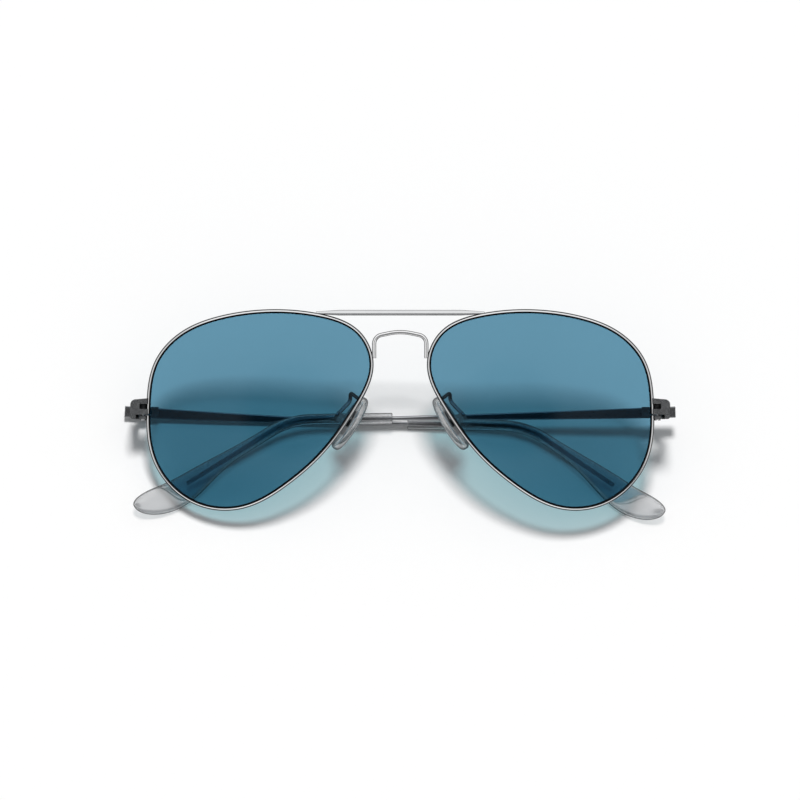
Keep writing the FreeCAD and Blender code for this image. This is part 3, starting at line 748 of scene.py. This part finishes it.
def arm_frames(distance, temple_set):
    """Places and directions along a folded right temple. Seen from the front it is a chain of
    arcs: a run of length s that turns by t has the chord s sin(t/2) / (t/2), at half its
    turn. Past the bow's start it also bows towards the lenses, by the distance squared over
    twice the bow's radius."""
    drop, lift, bend_start, bend = temple_set
    runs = (
        (lift_length, -lift),
        (bend_start - lift_length, 0),
        (bend_length, bend),
        (tail_straight, 0),
        (temple_length - bend_start - bend_length - tail_straight, -tail_lift),
    )
    slope = np.full(len(distance), np.radians(drop))
    along = np.minimum(distance, 0)
    height = -along * np.tan(slope)
    left = np.maximum(distance, 0)
    for length, angle in runs:
        step = np.minimum(left, length)
        half_turn = np.radians(angle) * step / length / 2
        chord = step * np.sinc(half_turn / np.pi)
        along = along + chord * np.cos(slope + half_turn)
        height = height - chord * np.sin(slope + half_turn)
        slope = slope + 2 * half_turn
        left = left - step
    past = np.maximum(distance - bow_start, 0)
    depth = blade_inner + blade_thickness / 2 - past**2 / (2 * bow_radius)
    place = np.stack([hinge_x - along, hinge_y + depth, hinge_z + height], axis=1)
    way = np.stack([-np.cos(slope), -past / bow_radius, -np.sin(slope)], axis=1)
    way /= np.linalg.norm(way, axis=1)[:, None]
    side = np.array([0.0, 1.0, 0.0]) - way * way[:, 1:2]
    side /= np.linalg.norm(side, axis=1)[:, None]
    upward = np.cross(side, way)
    upward *= np.sign(upward[:, 2:3])
    return place, side, upward


def arm_rings(distance, temple_set, section, raised=0.0):
    """Sections square to the temple's path at each distance, raised off the path."""
    place, side, upward = arm_frames(distance, temple_set)
    place = place + upward * np.reshape(raised, (-1, 1))
    return place[:, None] + side[:, None] * section[..., :1] + upward[:, None] * section[..., 1:]


def open_left(rings):
    """The left temple: mirrored, then turned open about its hinge by the slant."""
    cos, sin = np.cos(rear_slant), np.sin(rear_slant)
    pivot = np.array([-hinge_x, hinge_y, hinge_z])
    spin = np.array([[cos, -sin, 0], [sin, cos, 0], [0, 0, 1]])
    return (mirror_left(rings) - pivot) @ spin.T + pivot


def temple_distances():
    """Stations along a temple: a rounded start, the blade, the core wire and its end."""
    start = [-temple_butt, -temple_butt + temple_end_round]
    blade = np.linspace(-3, blade_end, 40)
    core = np.linspace(blade_end + 2, core_end - temple_end_round, 70)
    return np.concatenate([start, blade, core, [core_end]])


def temple_rings(temple_set):
    """Blade and core wire: height, thickness and corner radius fall in a straight line to
    the blade's end and then stay. A smaller ring rounds each end."""
    distance = temple_distances()
    share = np.clip(distance / blade_end, 0, 1)
    inset = np.zeros(len(distance))
    inset[[0, -1]] = temple_end_round
    half_up = (blade_height + (core_height - blade_height) * share) / 2 - inset
    half_side = (blade_thickness + (core_thickness - blade_thickness) * share) / 2 - inset
    radius = blade_corner + (core_corner - blade_corner) * share - inset / 2
    return arm_rings(distance, temple_set, rounded_rectangle(half_side, half_up, radius))


# The core wire isn't polished, so it shows dark inside the clear tip. The blade is buffed.
past_blade = (temple_distances() - core_shade_start) / core_shade_run
core_dull = core_shade * np.clip(past_blade, 0, 1)[:, None]
temple_metal = polished_metal("polished_temple_plate", "#C4C6C9", "#B4B6BA", 0.08, 0.18, 0.3, 0.002)
right_rings = temple_rings(front_set)
left_rings = open_left(temple_rings(rear_set))
right_temple = add_rings("temple_blade_right", right_rings, temple_metal, dull_and_painted_shade=core_dull)
left_temple = add_rings("temple_blade_left", left_rings, temple_metal, dull_and_painted_shade=core_dull)
for side, temple in (("right", right_temple), ("left", left_temple)):
    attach(temple, side + "_temple")
    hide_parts("temple_arm_" + side)

# Temple tips: clear acetate sleeves pushed warm over the core wires, which show inside.
# Each swells to a flat rounded paddle behind the ear and is tumbled to a high gloss.
tip_start = 69.0
tip_height = 2.9
tip_thickness = 2.1
paddle_above = 2.7
paddle_below = 4.8
paddle_thickness = 2.5
swell_above = (38.0, 12.0)
swell_below = (30.0, 10.0)
end_above = 7.0
end_below = 10.0
dome_power = 2.4
tip_start_round = 0.2
tip_end_share = 0.35
acrylic_index = 1.49
haze_size = 2.5
# Facing limits of the painted shade along clear plastic's outline
painted_outline_facing = (0.18, 0.6)


def domed_oval(half_side, half_up, steps=28):
    """Ovals fuller than an ellipse, one a row: cosine and sine of the angle, each kept in
    sign and raised to two over the power, times the half sizes."""
    angle = np.linspace(0, 2 * np.pi, steps, endpoint=False)
    side = np.sign(np.cos(angle)) * np.abs(np.cos(angle)) ** (2 / dome_power)
    height = np.sign(np.sin(angle)) * np.abs(np.sin(angle)) ** (2 / dome_power)
    return np.stack([half_side[:, None] * side, half_up[:, None] * height], axis=-1)


def tip_rings(temple_set):
    """Sleeve that swells on smooth steps (share squared times three less twice the share),
    more below the core than above it. Towards the end each side falls as a quarter ellipse,
    the root of one less the square."""

    def swell(left, limits):
        share = np.clip((limits[0] - left) / (limits[0] - limits[1]), 0, 1)
        return share**2 * (3 - 2 * share)

    def rounding(left, length):
        return np.sqrt(1 - np.clip((length - left) / length, 0, 1) ** 2)

    end_angle = np.linspace(0, np.radians(84), 18)[1:]
    round_start = temple_length - end_below
    start = [tip_start, tip_start + tip_start_round]
    sleeve = np.linspace(tip_start + 2, round_start, 60)
    distance = np.concatenate([start, sleeve, round_start + end_below * np.sin(end_angle)])
    left = temple_length - distance
    inset = np.zeros(len(distance))
    inset[0] = tip_start_round
    above = tip_height / 2 + (paddle_above - tip_height / 2) * swell(left, swell_above)
    above *= rounding(left, end_above)
    below = tip_height / 2 + (paddle_below - tip_height / 2) * swell(left, swell_below)
    below *= rounding(left, end_below)
    thickness = tip_thickness + (paddle_thickness - tip_thickness) * swell(left, swell_below)
    narrowed = tip_end_share + (1 - tip_end_share) * rounding(left, end_above)
    half_side = thickness / 2 * narrowed - inset
    section = domed_oval(half_side, (above + below) / 2 - inset)
    return arm_rings(distance, temple_set, section, (above - below) / 2)


def clear_plastic(name, face, rim, rough, straight, mirrored):
    """Clear plastic: its tint deepens towards its outline, where one looks through more of
    it, and its mirror darkens there too, a painted shade along the outline, darker than the
    thickness alone would make it. One share of the light goes straight through instead of
    bending, and another share is mirrored off the face. Shadow rays pass dimmed."""
    material, tree = new_material(name)
    place = add_node(tree, "TexCoord", {}, {})
    spot = place.outputs["Object"]
    haze = add_node(tree, "TexNoise", {}, {"Vector": spot, "Scale": 1000 / haze_size, "Detail": 2.0})
    roughness = {"Value": haze.outputs[0], "To Min": rough * 0.6, "To Max": rough * 1.6}
    cloud = add_node(tree, "MapRange", {}, roughness)
    # Painted shade: tint and mirror darken where the surface turns away from the view
    graze = add_node(tree, "LayerWeight", {}, {"Blend": 0.5})
    limits = {
        "Value": graze.outputs["Facing"],
        "From Min": painted_outline_facing[0],
        "From Max": painted_outline_facing[1],
    }
    painted_outline_shade = add_node(tree, "MapRange", {"interpolation_type": "SMOOTHSTEP"}, limits)
    tone = add_node(
        tree,
        "Mix",
        {"data_type": "RGBA"},
        {"Factor": painted_outline_shade.outputs["Result"], 6: (*linear(face), 1), 7: (*linear(rim), 1)},
    )
    body = add_node(
        tree,
        "BsdfPrincipled",
        {},
        {
            "Base Color": tone.outputs["Result"],
            "Roughness": cloud.outputs["Result"],
            "IOR": acrylic_index,
            "Transmission Weight": 1.0,
        },
    )
    shadow = add_node(tree, "BsdfTransparent", {}, {"Color": (*linear("#E6E8E9"), 1)})
    rays = add_node(tree, "LightPath", {}, {})
    unbent = add_node(tree, "BsdfTransparent", {}, {"Color": tone.outputs["Result"]})
    both_ways = {0: straight, 1: body.outputs[0], 2: unbent.outputs[0]}
    passed = add_node(tree, "MixShader", {}, both_ways)
    bright = add_node(
        tree,
        "Mix",
        {"data_type": "RGBA"},
        {"Factor": painted_outline_shade.outputs["Result"], 6: (1, 1, 1, 1), 7: (*linear(rim), 1)},
    )
    gloss = add_node(tree, "BsdfGlossy", {}, {"Color": bright.outputs["Result"], "Roughness": 0.1})
    shown = {0: mirrored, 1: passed.outputs[0], 2: gloss.outputs[0]}
    seen_body = add_node(tree, "MixShader", {}, shown)
    mixed = add_node(
        tree,
        "MixShader",
        {},
        {0: rays.outputs["Is Shadow Ray"], 1: seen_body.outputs[0], 2: shadow.outputs[0]},
    )
    add_node(tree, "OutputMaterial", {}, {"Surface": mixed.outputs[0]})
    return material


# The acetate is glossy, with a grey face and a painted black outline of shade. The soft pad is
# hazier and nearly white, with a painted soft grey outline of shade.
tip_material = clear_plastic("clear_acetate", "#D0D1D3", "#101214", 0.03, 0.2, 0.22)
right_tip = add_rings("clear_tip_right", tip_rings(front_set), tip_material)
left_tip = add_rings("clear_tip_left", open_left(tip_rings(rear_set)), tip_material)
for side, tip in (("right", right_tip), ("left", left_tip)):
    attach(tip, side + "_temple")
    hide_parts("temple_tip_" + side)

# Nose pads: clear soft PVC moulded round a metal insert. The insert's lug is held by a
# screw in a small box on the pad arm, a wire brazed to the back of the rim.
pad_length = 15.4
pad_width = 7.6
pad_thickness = 2.6
pad_round = 0.9
pad_crown = 0.2
pad_centre = np.array([13.0, 9.8, -3.4])
pad_frontal = np.radians(31.5)
pad_splay = np.radians(25.0)
pad_box_reach = 4.25
arm_radius = 0.5
arm_foot = np.array([10.361, 3.391, 2.687])
arm_points = arm_foot + np.array([(0, 0, 0), (0, 1.9, 0), (2.5, 5.6, 1.9), (2.5, 7.6, -0.3)])


def pad_axes():
    """Directions of the right pad: along it, across it and towards the nose."""
    along = np.array([-np.sin(pad_frontal), 0, np.cos(pad_frontal)])
    nose = np.cross(along, [np.sin(pad_splay), np.cos(pad_splay), 0])
    nose *= -np.sign(nose[0]) / np.linalg.norm(nose)
    across = np.cross(nose, along)
    return along, across * np.sign(across[1]), nose


def pad_rings():
    """Oval cushion: rings of an ellipse, drawn in along its normals by the rounding on the
    edge, shrunk to the middle on the two faces, which swell by the square of the share."""
    along, across, nose = pad_axes()
    angle = np.linspace(0, 2 * np.pi, 72, endpoint=False)
    a, b = pad_length / 2, pad_width / 2
    oval = np.stack([a * np.cos(angle), b * np.sin(angle)], axis=1)
    normal = np.stack([np.cos(angle) / a, np.sin(angle) / b], axis=1)
    normal /= np.linalg.norm(normal, axis=1)[:, None]
    edge = np.linspace(0, np.pi / 2, 9)
    half = pad_thickness / 2
    shares = np.linspace(0.06, 1, 9)[:-1]
    flat_half = half - pad_crown
    inner = oval - normal * pad_round
    rings = [(inner * share, half - pad_crown * share**2) for share in shares]
    rings += [
        (oval - normal * pad_round * (1 - np.sin(turn_by)), flat_half - pad_round * (1 - np.cos(turn_by)))
        for turn_by in edge
    ]
    rings += [(ring, -height) for ring, height in rings[::-1]]
    solid = []
    for ring, height in rings:
        solid.append(pad_centre + ring[:, :1] * along + ring[:, 1:] * across + height * nose)
    return np.array(solid)


pad_material = clear_plastic("clear_soft_vinyl", "#FDFDFD", "#85888B", 0.06, 0.6, 0.25)
for side, rings in (("right", pad_rings()), ("left", mirror_left(pad_rings()))):
    pad = add_rings("clear_nose_pad_" + side, rings, pad_material)
    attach(pad, side + "_pad")
    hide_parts("nose_pad_" + side)
    dress("pad_insert_" + side, milled_metal)
    dress("pad_box_" + side, milled_metal)

arm_end = pad_centre - pad_axes()[2] * pad_box_reach
arm_path = bent_path(np.concatenate([arm_points, [arm_end]]), (1.3, 1.3, 1.3), 0.25)
arm_wire = wire_rings(arm_path, arm_radius, (0.9, -0.9, 0.4))
for side, rings in (("right", arm_wire), ("left", mirror_left(arm_wire))):
    arm = add_rings("pad_arm_wire_" + side, rings, temple_metal)
    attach(arm, "front")
    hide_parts("pad_arm_" + side)
